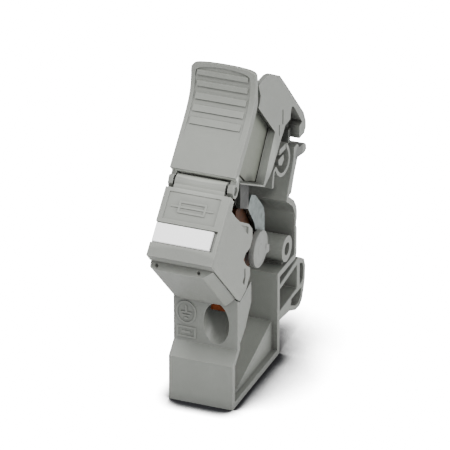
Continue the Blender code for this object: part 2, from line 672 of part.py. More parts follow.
def build_fuse():
    """Glass tube, two end caps and the element, all with the lever's origin."""
    inner_start = along_fuse(FUSE_START + TUBE_SETBACK)
    inner_end = along_fuse(FUSE_END - TUBE_SETBACK)
    tube = rod("fuse_tube", inner_start, inner_end, TUBE_RADIUS, 28)
    cut(tube, rod_tool("fuse_tube_bore", along_fuse(FUSE_START - 1),
                       along_fuse(FUSE_END + 1), TUBE_BORE_RADIUS))
    finish(tube, GLASS, LEVER_ORIGIN)
    for name, end, way in (("fuse_cap_lower", FUSE_START, 1), ("fuse_cap_upper", FUSE_END, -1)):
        cap = rod(name, along_fuse(end), along_fuse(end + way * CAP_LENGTH), FUSE_RADIUS, 28)
        cut(cap, rod_tool(name + "_well", along_fuse(end + way * CAP_END_WALL),
                          along_fuse(end + way * (CAP_LENGTH + 1)), CAP_WELL_RADIUS, 28))
        finish(cap, BRASS, LEVER_ORIGIN)
    element = rod("fuse_element", inner_start, inner_end, ELEMENT_RADIUS, 10)
    finish(element, SILVER, LEVER_ORIGIN)


def build_cradle():
    cradle = slab("fuse_cradle", *CRADLE)
    start, end = (along_fuse(rise) for rise in CRADLE_BORE_RISES)
    cut(cradle, rod_tool("cradle_bore", start, end, CRADLE_BORE_RADIUS, 32),
        slab_tool("cradle_mouth", *CRADLE_MOUTH))
    finish(cradle, DARK, LEVER_ORIGIN)


# --------------------------------------------- clips, contact block, busbars
# name: (rise start, rise end)
CLIPS = {"contact_clip_lower": (4.8, 8.6), "contact_clip_upper": (20.0, 23.3)}
CLIP_HALF, CLIP_INNER_HALF = 3.6, 2.95
CLIP_INSETS, CLIP_INNER_INSETS = (3.4, 8.9), (2, 8.2)
BLOCK = (4.3, 12.6, faces([(7.6, 10.3), (20.9, 10.3), (20.9, 13.8), (9.0, 13.8)]))
BLOCK_WALL = (12.2, 13.8, faces([
    (6.2, 2.4), (20.9, 2.4), (20.9, 3.4), (22.75, 3.4), (22.75, 18.0), (20.9, 18.3),
    (8.8, 18.9), (6.5, 12.6)]))
# name: (across start, across end, outline)
BUSBARS = {
    "busbar_upper": (5.2, 8.8, ribbon(
        faces([(20.0, 9.6), (23.6, 9.6), (23.6, 12.1), (28.7, 12.1)]), thickness=0.6)),
    "busbar_lower": (8.7, 10.5, ribbon(
        [face(7.2, 9.6), face(4.8, 9.6), (14.9, 49.6), (14.9, 45.4), (10.7, 40.8),
         (10.7, 27.9)], thickness=0.7)),
}


def build_clips():
    for name, (start, end) in CLIPS.items():
        clip = slab(name, *span(FUSE_ACROSS, CLIP_HALF), face_rect(start, end, *CLIP_INSETS))
        cut(clip, slab_tool(name + "_inner", *span(FUSE_ACROSS, CLIP_INNER_HALF),
                            face_rect(start - 1, end + 1, *CLIP_INNER_INSETS)))
        finish(clip, SILVER)


def build_contact_block():
    block = slab("contact_block", *BLOCK)
    join(block, slab_tool("contact_block_wall", *BLOCK_WALL))
    finish(block, DARK)


def build_busbars():
    for name, entry in BUSBARS.items():
        finish(slab(name, *entry), COPPER)


def screw(name, axis, head, tip, head_radius, shank_radius, slot):
    """Cheese head over a range of the axis, shank on to the tip, driver slot."""
    top, bottom = head
    body = rod(name, axis(top), axis(bottom), head_radius, 28)
    join(body, rod_tool(name + "_shank", axis((top + bottom) / 2), axis(tip),
                        shank_radius, 20))
    cut(body, slot)
    finish(body, STEEL, axis(top))


# ---------------------------------------------------------------- upper clamp
UP_CAGE = (*span(UP_CLAMP_ACROSS, 3.0), face_rect(24.7, 28.9, 8.2, 13.3))
UP_CAGE_INNER = (*span(UP_CLAMP_ACROSS, 2.3), face_rect(20, 33, 8.9, 12.7))
UP_CAGE_HOLE_RADIUS = 1.3
UP_SLOT = (4, 10, face_rect(*span(UP_SCREW_RISE, 0.25), 3.0, 4.1))
UP_PLATE = (*span(UP_CLAMP_ACROSS, 1.9), face_rect(25.1, 28.5, 9.3, 9.9))


def build_upper_clamp():
    cage = slab("clamp_cage_upper", *UP_CAGE)
    cut(cage, slab_tool("cage_upper_inner", *UP_CAGE_INNER),
        rod_tool("cage_upper_hole", up_screw_axis(7), up_screw_axis(9.4),
                 UP_CAGE_HOLE_RADIUS))
    finish(cage, SILVER)
    screw("clamp_screw_upper", up_screw_axis, head=(3.4, 5.0), tip=9.0, head_radius=1.45,
          shank_radius=1.0, slot=slab_tool("screw_upper_slot", *UP_SLOT))
    finish(slab("pressure_plate_upper", *UP_PLATE), STEEL)


# ---------------------------------------------------------------- lower clamp
# across, depth and height ranges
LOW_CAGE = (span(LOW_CLAMP_ACROSS, 3.5), (5.0, 12.0), (28.6, 35.4))
LOW_CAGE_INNER = (span(LOW_CLAMP_ACROSS, 2.6), (5.9, 11.3), (20, 40))
LOW_CAGE_LIP = (span(LOW_CLAMP_ACROSS, 2.1), (5.05, 5.85), (24.0, 29.4))
LOW_SLOT = ((7, 15), (1.5, 3.2), span(LOW_SCREW_HEIGHT, 0.3))
LOW_PLATE = (span(LOW_CLAMP_ACROSS, 2.3), (7.5, 8.2), (29.2, 34.8))
LOW_CAGE_HOLE_RADIUS = 1.6


def build_lower_clamp():
    cage = box("clamp_cage_lower", *LOW_CAGE)
    cut(cage, box_tool("cage_lower_inner", *LOW_CAGE_INNER),
        rod_tool("cage_lower_hole", low_screw_axis(3), low_screw_axis(7),
                 LOW_CAGE_HOLE_RADIUS))
    join(cage, box_tool("cage_lower_lip", *LOW_CAGE_LIP))
    finish(cage, COPPER)
    screw("clamp_screw_lower", low_screw_axis, head=(2.5, 4.1), tip=7.2, head_radius=1.9,
          shank_radius=1.25, slot=box_tool("screw_lower_slot", *LOW_SLOT))
    finish(box("pressure_plate_lower", *LOW_PLATE), STEEL)


# ------------------------------------------------- earth link, strip and blade
DISC_START, DISC_END = 13.5, 15.0
DISC_ORIGIN = (14.2, *DISC_CENTRE)
DISC_RADIUS = 4.5
TOOTH_START = 13.9
# (depth, height) from the disc's centre
TOOTH_OFFSETS = [(3.2, -2.8), (5.3, -3.0), (5.5, -1.4), (3.6, -0.6)]
SPINDLE_START, SPINDLE_END = 1.5, 13.2
SPINDLE_RADIUS = 1.3
STRIP = (10.9, 11.9, [
    (12.2, 45.4), (15.5, 46.0), (20.0, 44.2), (24.6, 40.0), (25.2, 34.0),
    (23.6, 29.0), (20.0, 26.6), (16.6, 27.4), (15.4, 31.0), (14.6, 36.0),
    (13.2, 39.5), (12.2, 42.0)])
STRIP_HOLE_RADIUS = 1.65
BLADE = (12.2, 13.2, [
    (17.6, 45.2), (18.9, 46.7), (21.4, 45.4), (24.2, 42.6), (26.6, 39.9),
    (27.2, 37.7), (27.2, 32.2), (25.6, 31.2), (24.6, 33.6), (22.6, 34.9),
    (21.2, 36.2), (20.8, 38.3), (18.9, 40.9), (16.9, 43.7)])


def build_disc():
    disc = cross_rod("earth_link_disc", DISC_START, DISC_END, DISC_CENTRE, DISC_RADIUS, 40)
    tooth = [(DISC_CENTRE[0] + out, DISC_CENTRE[1] + up) for out, up in TOOTH_OFFSETS]
    join(disc, slab_tool("disc_tooth", TOOTH_START, DISC_END, tooth))
    finish(disc, TAUPE, DISC_ORIGIN)
    spindle = cross_rod("disc_spindle", SPINDLE_START, SPINDLE_END, DISC_CENTRE,
                        SPINDLE_RADIUS, 20)
    finish(spindle, STEEL)


def build_earth_contacts():
    strip = slab("earth_strip", *STRIP)
    cut(strip, cross_rod_tool("strip_hole", 10, 14, DISC_CENTRE, STRIP_HOLE_RADIUS))
    finish(strip, COPPER)
    finish(slab("earth_contact_blade", *BLADE), SILVER)


# --------------------------------------------------------- hook spring, latch
SPRING_PATH = [
    (34.4, 53.0), (35.8, 50.6), (36.1, 48.7), (35.3, 47.2), (33.4, 46.4),
    (30.8, 46.7), (28.6, 48.3), (27.4, 49.9), (26.2, 49.6), (25.7, 47.9),
    (25.4, 45.8)]
SPRING = (13.6, 15.9, ribbon(smooth_path(SPRING_PATH, steps=3), thickness=0.9))
# key: (across start, across end, outline)
SPRING_TOOLS = {
    "block": (13.6, 15.7, [(30.3, 53.5), (34.9, 53.3), (34.7, 52.0), (30.1, 52.1)]),
    "web": (13.6, 14.4, [(30.6, 53.0), (32.4, 53.0), (32.2, 50.0), (30.6, 50.0)]),
    "pad": (13.6, 15.6, [
        (29.8, 51.0), (32.9, 51.1), (33.3, 49.6), (31.8, 48.7), (29.9, 49.6)]),
}
LATCH = (0.4, 15.9, [
    (30.4, 18.0), (42.6, 19.5), (44.4, 18.6), (46.6, 17.2), (47.4, 15.1),
    (47.2, 11.6), (46.3, 9.0), (45.3, 6.9), (43.6, 5.9), (40.9, 6.1),
    (36.9, 7.8), (30.4, 8.6)])
LATCH_ORIGIN = (X_MID, 36.0, 12.0)
LATCH_FLOOR = 1.6
LATCH_POCKETS = {
    "a": (LATCH_FLOOR, BEYOND, [(29.0, 16.6), (41.8, 17.9), (41.8, 11.6), (29.0, 10.9)]),
    "b": (LATCH_FLOOR, BEYOND, [
        (43.6, 11.4), (43.6, 17.4), (45.6, 16.5), (46.1, 15.0), (45.9, 12.2)]),
    "c": (LATCH_FLOOR, BEYOND, [
        (37.6, 9.0), (38.0, 10.4), (44.9, 10.4), (44.4, 8.2), (43.3, 7.2),
        (41.1, 7.3)]),
}


def build_spring():
    spring = slab("hook_spring", *SPRING)
    tool = slab_tools("spring_", SPRING_TOOLS)
    join(spring, tool.block, tool.web, tool.pad)
    finish(spring, GREY)


def build_latch():
    latch = slab("rail_latch", *LATCH)
    pocket = slab_tools("latch_pocket_", LATCH_POCKETS)
    cut(latch, pocket.a, pocket.b, pocket.c)
    finish(latch, GREY, LATCH_ORIGIN)


build_housing()
build_head()
build_carrier()
build_marker()
build_cover()
build_lever()
build_hinge_pin()
build_fuse()
build_cradle()
build_clips()
build_contact_block()
build_busbars()
build_upper_clamp()
build_lower_clamp()
build_disc()
build_earth_contacts()
build_spring()
build_latch()
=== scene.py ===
"""A rail-mounted fuse terminal with a hinged fuse lever and an earth link disc.

Sizes are in mm: w across the width (world x), d in depth from the front (world y)
and l in height (world z). The camera looks at the front from the high-w side.
"""

import math
from functools import reduce

import bmesh
import bpy
from mathutils import Matrix, Vector


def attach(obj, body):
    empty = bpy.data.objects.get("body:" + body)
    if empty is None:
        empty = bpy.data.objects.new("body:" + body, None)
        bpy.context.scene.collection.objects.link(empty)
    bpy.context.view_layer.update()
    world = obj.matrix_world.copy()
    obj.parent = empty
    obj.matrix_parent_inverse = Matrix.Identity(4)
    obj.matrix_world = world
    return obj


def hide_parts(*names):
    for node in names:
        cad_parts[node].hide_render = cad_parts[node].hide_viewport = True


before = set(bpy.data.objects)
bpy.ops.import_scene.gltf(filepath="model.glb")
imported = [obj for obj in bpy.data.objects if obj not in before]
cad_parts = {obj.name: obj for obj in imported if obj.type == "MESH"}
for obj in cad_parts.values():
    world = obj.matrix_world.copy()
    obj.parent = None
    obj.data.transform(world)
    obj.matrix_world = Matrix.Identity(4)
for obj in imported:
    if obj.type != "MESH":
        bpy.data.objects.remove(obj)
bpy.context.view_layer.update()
scene = bpy.context.scene

MM = 0.001
ROOT2 = math.sqrt(2)
MID_W, MID_D = 8, 15          # the (w, d) that lies at the world origin
FACE_FOOT_L = 57              # height where the 45 degree front meets depth 0
DISC_CENTRE = (20.3, 32.2)    # (d, l) of the link disc and its spindle
HINGE_CENTRE = (1.8, 56.0)    # (d, l) of the lever's hinge pin
FUSE_START, FUSE_LENGTH = 4.3, 20.0    # up the 45 degree front
FUSE_BEHIND = 5.2             # fuse axis behind the front


# ------------------------------------------------------------------- geometry
def point(w, d, l):
    """World point of a place given in mm."""
    return Vector(((w - MID_W) * MM, (d - MID_D) * MM, l * MM))


def face(s, n):
    """(d, l) of a point s up the 45 degree front and n behind it."""
    return ((s + n) / ROOT2, FACE_FOOT_L + (s - n) / ROOT2)


def mesh_object(name, bm):
    bmesh.ops.recalc_face_normals(bm, faces=bm.faces)
    mesh = bpy.data.meshes.new(name)
    bm.to_mesh(mesh)
    bm.free()
    obj = bpy.data.objects.new(name, mesh)
    scene.collection.objects.link(obj)
    return obj


def between(ring_a, ring_b):
    """A closed solid between two rings of world points, used as a boolean tool."""
    bm = bmesh.new()
    a = [bm.verts.new(p) for p in ring_a]
    b = [bm.verts.new(p) for p in ring_b]
    bm.faces.new(a)
    bm.faces.new(list(reversed(b)))
    for i in range(len(a)):
        j = (i + 1) % len(a)
        bm.faces.new((a[j], a[i], b[i], b[j]))
    return mesh_object("tool", bm)


def side(outline, w0, w1):
    """A (d, l) outline run from w0 to w1."""
    return between([point(w0, d, l) for d, l in outline],
                   [point(w1, d, l) for d, l in outline])


def front(outline, d0, d1):
    """A (w, l) outline run from depth d0 to d1."""
    return between([point(w, d0, l) for w, l in outline],
                   [point(w, d1, l) for w, l in outline])


def on_face(outline, n0, n1):
    """A (w, s) outline on the 45 degree front, from n0 to n1 behind it."""
    return between([point(w, *face(s, n0)) for w, s in outline],
                   [point(w, *face(s, n1)) for w, s in outline])


def rect(x0, y0, x1, y1):
    return [(x0, y0), (x1, y0), (x1, y1), (x0, y1)]


def oval(x, y, radius_x, radius_y, count=56):
    return [(x + radius_x * math.cos(2 * math.pi * i / count),
             y + radius_y * math.sin(2 * math.pi * i / count)) for i in range(count)]


def lathe(name, profile, start, toward, segments=72, closed=False):
    """A (radius, distance from start) profile turned about the start-toward axis."""
    origin = point(*start)
    turn = (point(*toward) - origin).to_track_quat("Z", "Y").to_matrix()
    bm = bmesh.new()
    rings = []
    for r, z in profile:
        if r < 1e-6:
            rings.append([bm.verts.new(origin + turn @ Vector((0, 0, z * MM)))])
            continue
        rings.append([bm.verts.new(origin + turn @ Vector((
            r * MM * math.cos(2 * math.pi * i / segments),
            r * MM * math.sin(2 * math.pi * i / segments), z * MM)))
            for i in range(segments)])
    pairs = list(zip(rings, rings[1:]))
    if closed:
        pairs.append((rings[-1], rings[0]))
    for p, q in pairs:
        for i in range(segments):
            j = (i + 1) % segments
            if len(p) == 1:
                bm.faces.new((p[0], q[j], q[i]))
            elif len(q) == 1:
                bm.faces.new((p[i], p[j], q[0]))
            else:
                bm.faces.new((p[i], p[j], q[j], q[i]))
    return mesh_object(name, bm)


def rounded(radius, z0, z1, corner, steps=4):
    """Profile of a solid cylinder with rounded rims."""
    out = [(0, z0)]
    for i in range(steps + 1):
        a = math.pi / 2 * i / steps
        out.append((radius - corner + corner * math.sin(a),
                    z0 + corner - corner * math.cos(a)))
    for i in range(steps + 1):
        a = math.pi / 2 * i / steps
        out.append((radius - corner + corner * math.cos(a),
                    z1 - corner + corner * math.sin(a)))
    return out + [(0, z1)]


def clean(mesh, weld=1e-6, flat=0.02):
    """Welds points closer than weld (m) and merges faces within flat (radians)."""
    bm = bmesh.new()
    bm.from_mesh(mesh)
    bmesh.ops.remove_doubles(bm, verts=bm.verts, dist=weld)
    bmesh.ops.dissolve_degenerate(bm, edges=bm.edges, dist=weld)
    bmesh.ops.dissolve_limit(bm, angle_limit=flat, verts=bm.verts, edges=bm.edges)
    bmesh.ops.recalc_face_normals(bm, faces=bm.faces)
    bm.to_mesh(mesh)
    bm.free()


def copy_of(node):
    """A bare, cleaned copy of a CAD piece in world coordinates."""
    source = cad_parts[node]
    mesh = source.data.copy()
    mesh.transform(source.matrix_world)
    mesh.materials.clear()
    for layer in list(mesh.color_attributes):
        mesh.color_attributes.remove(layer)
    if mesh.has_custom_normals:
        mesh.attributes.remove(mesh.attributes["custom_normal"])
    clean(mesh)
    obj = bpy.data.objects.new(node + "_look", mesh)
    scene.collection.objects.link(obj)
    return obj


def bake(obj):
    """Applies every modifier."""
    bpy.context.view_layer.update()
    graph = bpy.context.evaluated_depsgraph_get()
    mesh = bpy.data.meshes.new_from_object(obj.evaluated_get(graph))
    obj.modifiers.clear()
    old = obj.data
    obj.data = mesh
    bpy.data.meshes.remove(old)


def boolean(obj, operation, tools):
    """Applies the tools one by one and deletes them."""
    for tool in tools:
        step = obj.modifiers.new("b", "BOOLEAN")
        step.operation = operation
        step.solver = "EXACT"
        step.object = tool
        bake(obj)
        clean(obj.data, weld=5e-7, flat=0.004)
        mesh = tool.data
        bpy.data.objects.remove(tool, do_unlink=True)
        bpy.data.meshes.remove(mesh)
    return obj


def cut(obj, *tools):
    return boolean(obj, "DIFFERENCE", tools)


def add(obj, *tools):
    return boolean(obj, "UNION", tools)


def hollow(extrude, corners, rim, solid_span, cut_span):
    """A rectangular frame of width rim; the spans are the extrusion's two ends."""
    x0, y0, x1, y1 = corners
    opening = rect(x0 + rim, y0 + rim, x1 - rim, y1 - rim)
    return cut(extrude(rect(*corners), *solid_span), extrude(opening, *cut_span))


def soften(obj, width, segments, angle=28, smooth=32):
    """Rounds edges sharper than angle; those sharper than smooth shade hard."""
    bevel = obj.modifiers.new("round", "BEVEL")
    bevel.width = width * MM
    bevel.segments = segments
    bevel.limit_method = "ANGLE"
    bevel.angle_limit = math.radians(angle)
    bevel.use_clamp_overlap = True
    bevel.miter_outer = "MITER_ARC"
    bake(obj)
    obj.data.shade_smooth()
    obj.data.set_sharp_from_angle(angle=math.radians(smooth))
    normals = obj.modifiers.new("normals", "WEIGHTED_NORMAL")
    normals.keep_sharp = True
    normals.weight = 60
    bake(obj)


def finish(obj, look, body, node):
    """Gives a piece its material from the (material, slot) look and hands it to the frame.
    """
    material, slot = look
    obj.data.materials.clear()
    obj.data.materials.append(material)
    for polygon in obj.data.polygons:
        polygon.material_index = 0
    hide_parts(node)
    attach(obj, body)


def refit(node, look, body, width, segments=3, angle=28, joined=(), removed=()):
    """A CAD piece with tools joined and removed, its edges rounded by width."""
    obj = copy_of(node)
    add(obj, *joined)
    cut(obj, *removed)
    soften(obj, width, segments, angle)
    finish(obj, look, body, node)


# ------------------------------------------------------------------ materials
WHITE = (1, 1, 1, 1)
TOWARD_CAMERA = (0.33, -0.83, 0.45)


class Tree:
    """A node tree. Inputs may be values, sockets, or nodes (their first output)."""

    def __init__(self, owner):
        owner.use_nodes = True
        self.nodes = owner.node_tree.nodes
        self.links = owner.node_tree.links

    def feed(self, node, inputs):
        for key, value in inputs.items():
            if isinstance(value, bpy.types.Node):
                value = value.outputs[0]
            if isinstance(value, bpy.types.NodeSocket):
                self.links.new(value, node.inputs[key])
            else:
                node.inputs[key].default_value = value

    def add(self, kind, inputs=None, **settings):
        node = self.nodes.new("ShaderNode" + kind)
        for name, value in settings.items():
            setattr(node, name, value)
        self.feed(node, inputs or {})
        return node

    def math(self, operation, *values):
        return self.add("Math", dict(enumerate(values)), operation=operation)

    def vector(self, operation, *values):
        return self.add("VectorMath", dict(enumerate(values)), operation=operation)

    def product(self, values):
        return reduce(lambda a, b: self.math("MULTIPLY", a, b), values)

    def coords(self, output="Object"):
        return self.add("TexCoord").outputs[output]

    def noise(self, scale, detail, rough=0.55):
        """Noise in object space, scale in cycles per millimetre."""
        return self.add("TexNoise", {"Vector": self.coords(), "Scale": scale / MM,
                                     "Detail": detail, "Roughness": rough})

    def remap(self, value, to_min, to_max, from_min=0.0, from_max=1.0, **settings):
        return self.add("MapRange", {
            "Value": value, "From Min": from_min, "From Max": from_max,
            "To Min": to_min, "To Max": to_max}, **settings)

    def mix(self, factor, a, b, mode="MIX"):
        """Colour mix. The node's colour sockets are inputs 6 and 7, output 2."""
        a, b = ((*c, 1) if isinstance(c, tuple) else c for c in (a, b))
        return self.add("Mix", {0: factor, 6: a, 7: b},
                        data_type="RGBA", blend_type=mode).outputs[2]

    def darken(self, tone, value):
        """The tone multiplied by a single value."""
        grey = self.add("CombineColor", dict.fromkeys(("Red", "Green", "Blue"), value))
        return self.mix(1.0, tone, grey, "MULTIPLY")

    def bump(self, height, strength, distance, **inputs):
        return self.add("Bump", {"Height": height, "Strength": strength,
                                 "Distance": distance * MM, **inputs})


def new_material(name):
    material = bpy.data.materials.new(name)
    tree = Tree(material)
    return material, tree, tree.nodes["Principled BSDF"]


def painted_recess_shade(tree, layers):
    """Painted shade: falls off in corners and pockets; layers are (distance in mm, depth).
    """
    def shade(distance, depth):
        near = tree.add("AmbientOcclusion", {"Distance": distance * MM}, samples=8)
        return tree.remap(near.outputs["AO"], to_min=1 - depth, to_max=1.0)

    return tree.product(shade(*layer) for layer in layers)


def shade_field(tree, painted_shading_spots):
    """Painted light and shade: 1 everywhere, moving to a given level inside soft
    ellipsoids (mm).
    """
    where = tree.coords()

    def spot(centre, radii, level):
        shift = tree.vector("SUBTRACT", where, point(*centre))
        scaled = tree.vector("DIVIDE", shift, tuple(r * MM for r in radii))
        size = tree.vector("LENGTH", scaled).outputs["Value"]
        return tree.remap(size, from_min=0.7, from_max=1.15, to_min=level, to_max=1.0,
                          interpolation_type="SMOOTHSTEP")

    field = tree.product(spot(*entry) for entry in painted_shading_spots)
    # the painted light and shade falls only on faces toward the camera; faces turned away
    # keep their plain colour
    facing = tree.vector("DOT_PRODUCT", tree.coords("Normal"), TOWARD_CAMERA)
    gate = tree.remap(facing.outputs["Value"], from_min=-0.05, from_max=0.05,
                      to_min=0.0, to_max=1.0)
    return tree.math("MULTIPLY_ADD", tree.math("SUBTRACT", field, 1.0), gate, 1.0)


def rims(tree, gain):
    """Painted highlight: 1 on faces and a little more along the edges."""
    here = tree.add("NewGeometry")
    bent = tree.add("Bevel", {"Radius": 0.32 * MM}, samples=6)
    dot = tree.vector("DOT_PRODUCT", here.outputs["True Normal"], bent)
    return tree.remap(dot.outputs["Value"], from_min=0.99, from_max=0.86,
                      to_min=1.0, to_max=1.0 + gain)


def plastic(name, colour, rough=0.46, grain=0.35, depth=0.55, vary=0.05, rim=0.3,
            painted_shading_spots=(), painted_glow=0.0):
    """Moulded thermoplastic: eroded texture, faint flow marks, painted shade in recesses,
    painted light and shade in soft ellipsoids, painted highlights along edges, and, when
    asked, painted light given off as emission.
    """
    occlude = 2.6    # reach of the recess shading, mm
    material, tree, shader = new_material(name)
    tone = tree.mix(tree.noise(scale=0.16, detail=2.0),
                    tuple(c * (1 - vary) for c in colour),
                    tuple(min(1, c * (1 + vary)) for c in colour))
    # painted shade: darker in corners and pockets
    tone = tree.darken(tone, painted_recess_shade(tree, ((occlude, depth),
                                           (occlude * 4, depth * 0.9))))
    # painted light and shade inside soft ellipsoids
    if painted_shading_spots:
        tone = tree.darken(tone, shade_field(tree, painted_shading_spots))
    # painted highlight: a little lighter along the edges
    tone = tree.darken(tone, rims(tree, rim))
    fine = tree.noise(scale=9.0, detail=2.0, rough=0.6)
    coarse = tree.noise(scale=1.1, detail=2.0, rough=0.5)
    sheen = tree.remap(coarse, to_min=rough - 0.07, to_max=rough + 0.09)
    texture = tree.bump(fine, strength=grain, distance=0.02)
    wide = tree.noise(scale=0.35, detail=1.0, rough=0.5)
    sink = tree.bump(wide, strength=0.25, distance=0.06, Normal=texture)
    tree.feed(shader, {"Base Color": tone, "Roughness": sheen, "Normal": sink,
                       "Specular IOR Level": 0.42})
    # painted light: the piece gives off light though it is no lamp
    if painted_glow:
        tree.feed(shader, {"Emission Color": WHITE, "Emission Strength": painted_glow})
    return material


def metal(name, colour, tarnish, rough=0.28, brushed=0.5, depth=0.5):
    """Stamped or plated metal: rolled grain, tarnish in blotches, painted shade in
    recesses.
    """
    material, tree, shader = new_material(name)
    spread = tree.add("ValToRGB", {"Fac": tree.noise(scale=0.55, detail=4.0, rough=0.6)})
    spread.color_ramp.elements[0].position = 0.38
    spread.color_ramp.elements[1].position = 0.72
    # tarnish in blotches, then painted shade in corners and pockets
    tone = tree.darken(tree.mix(spread, colour, tarnish),
                       painted_recess_shade(tree, ((1.6, depth), (6.0, depth))))
    # cycles per metre along x, y and z
    stretch = tree.add("Mapping", {"Vector": tree.coords(), "Scale": (900, 14000, 1400)})
    grain = tree.add("TexNoise", {"Vector": stretch, "Scale": 1.0, "Detail": 3.0})
    sheen = tree.remap(grain, to_min=rough - 0.08, to_max=rough + 0.14)
    tree.feed(shader, {"Base Color": tone, "Metallic": 1.0, "Roughness": sheen,
                       "Normal": tree.bump(grain, strength=brushed, distance=0.006)})
    return material


def clear_glass(name):
    material, tree, shader = new_material(name)
    smear = tree.noise(scale=0.8, detail=3.0)
    tree.feed(shader, {"Base Color": (0.90, 0.96, 0.94, 1), "Transmission Weight": 1.0,
                       "IOR": 1.5, "Roughness": tree.remap(smear, 0.02, 0.07)})
    return material


# Soft ellipsoids of painted light and shade: centre (w, d, l), radii, level.
# Painted shade darkens the cavities under the head and behind the hook; levels above 1 are
# painted light.
HOUSING_PAINTED_SHADE_AND_LIGHT = (((12.9, 13.8, 49.0), (2.0, 4.5, 5.6), 0.2),
            ((4.5, 38.0, 36.0), (4.5, 4.5, 5.0), 0.4),
            ((6.0, 18.0, 47.5), (8.5, 12.0, 6.0), 0.62),
            ((12.0, 40.3, 54.5), (3.6, 3.6, 4.8), 0.34),
            ((16.0, 42.2, 47.6), (3.0, 2.7, 2.3), 0.55),
            ((10.0, 15.0, 8.0), (7.5, 14.5, 12.0), 1.16),
            ((15.0, 23.6, 55.2), (1.5, 5.2, 6.4), 1.45),
            ((7.0, 34.6, 40.6), (6.0, 3.0, 3.6), 0.5))
# painted light by the hinge and painted shade lower on the front
CARRIER_PAINTED_LIGHT_AND_SHADE = (((8.0, 0.4, 55.0), (9.5, 2.6, 2.4), 1.32),
          ((8.0, 1.8, 58.0), (9.5, 1.2, 1.2), 1.9),
          ((8.0, -12.2, 44.6), (10.0, 1.7, 1.9), 0.8))
# painted light on the lever's lower edge by the hinge
LEVER_PAINTED_EDGE_LIGHT = (((8.0, 2.6, 58.6), (9.5, 1.5, 1.3), 3.0),)
# painted shade on the dark pieces in the pocket under the head
POCKET_PAINTED_SHADE = (((12.9, 13.8, 49.5), (3.5, 5.0, 4.6), 0.45),)

# Looks: (material, slot)
HOUSING = (plastic("moulded_grey", colour=(0.238, 0.249, 0.227), painted_shading_spots=HOUSING_PAINTED_SHADE_AND_LIGHT),
           "housing_plastic")
CARRIER = (plastic("moulded_grey_front", colour=(0.262, 0.272, 0.247), depth=0.27,
                   painted_shading_spots=CARRIER_PAINTED_LIGHT_AND_SHADE), "carrier_plastic")
LEVER = (plastic("moulded_grey_lever", colour=(0.252, 0.262, 0.238), depth=0.26,
                 painted_shading_spots=LEVER_PAINTED_EDGE_LIGHT), "carrier_plastic")
DARK = (plastic("moulded_dark", colour=(0.20, 0.212, 0.178), rough=0.5, depth=0.22,
                rim=0.1, painted_shading_spots=POCKET_PAINTED_SHADE), "dark_plastic")
# the marker gives off painted light though it is no lamp
MARKER = (plastic("marker_white", colour=(0.93, 0.93, 0.935), rough=0.4, grain=0.1,
                  vary=0.01, depth=0.15, rim=0.0, painted_glow=0.8), "marker_plastic")
LINK = (plastic("link_grey", colour=(0.252, 0.26, 0.245), depth=0.52), "link_plastic")
COPPER = (metal("copper_dull", colour=(0.145, 0.037, 0.013),
                tarnish=(0.07, 0.021, 0.009), rough=0.42), "copper")
COPPER_OLD = (metal("copper_tarnished", colour=(0.105, 0.040, 0.014),
                    tarnish=(0.05, 0.021, 0.009), rough=0.5), "copper")
TIN = (metal("tinned", colour=(0.31, 0.355, 0.35), tarnish=(0.16, 0.195, 0.185),
             rough=0.36, depth=0.4), "tinned_copper")
CAP = (metal("nickel_cap", colour=(0.74, 0.66, 0.48), tarnish=(0.62, 0.52, 0.34),
             rough=0.2, brushed=0.2), "cap_metal")
STEEL = (metal("zinc_steel", colour=(0.60, 0.61, 0.60), tarnish=(0.42, 0.43, 0.42)),
         "steel")
GLASS = (clear_glass("fuse_glass"), "glass")


# ------------------------------------------------------------- moulded pieces
def neck_marks():
    """The earth symbol in an oval ring, and a framed bar below it, on the neck."""
    mark_w, mark_l = 3.2, 21.9              # centre of the ring
    raised, through = (2.9, 3.5), (2.0, 4.0)    # depth spans
    bar_half, bar_low, bar_high = 2.4, 15.3, 18.2
    # half width, bottom and top from the ring's centre: the stem, then three bars
    strokes = ((0.2, 0.1, 1.75), (1.35, -0.25, 0.15),
               (0.9, -1.0, -0.6), (0.45, -1.75, -1.35))
    ring = front(oval(mark_w, mark_l, 2.5, 3.0), *raised)
    cut(ring, front(oval(mark_w, mark_l, 2.12, 2.58), *through))
    marks = [ring]
    for half, bottom, top in strokes:
        marks.append(front(rect(mark_w - half, mark_l + bottom,
                                mark_w + half, mark_l + top), *raised))
    marks.append(hollow(front, (mark_w - bar_half, bar_low, mark_w + bar_half, bar_high),
                        0.45, raised, through))
    marks.append(front(rect(mark_w - 1.1, 16.5, mark_w + 1.1, 17.0), *raised))
    return marks


def carrier_marks():
    """A rectangular frame crossed by a line, on the 45 degree front."""
    span = (0.04, 0.8)
    return [hollow(on_face, (4.3, -7.3, 11.0, -4.4), 0.45, span, (-0.5, 1.5)),
            on_face(rect(2.4, -6.05, 12.9, -5.65), *span)]


def cover_holes():
    return [lathe("hole", rounded(0.42, -0.6, 0.7, corner=0.02), (w, -11.1, 40.4),
                  (w, -10.1, 40.6), segments=32) for w in (1.7, 12.0)]


refit("base_housing", HOUSING, "body", 0.16, segments=2, joined=neck_marks())
refit("head_frame", HOUSING, "body", 0.16, segments=2)
refit("front_carrier", CARRIER, "body", 0.14, segments=2, joined=carrier_marks())
refit("marker_strip", MARKER, "body", 0.12,
      removed=[on_face(rect(14.3, -16.5, 17.0, -9.0), -2, 2)])
refit("entry_cover", CARRIER, "cover", 0.16, removed=cover_holes())
refit("fuse_lever", LEVER, "lever", 0.16)
refit("rail_latch", HOUSING, "latch", 0.2)
refit("hook_spring", HOUSING, "body", 0.12, segments=2, angle=40)
refit("contact_block", DARK, "body", 0.16)
refit("fuse_cradle", DARK, "lever", 0.15)


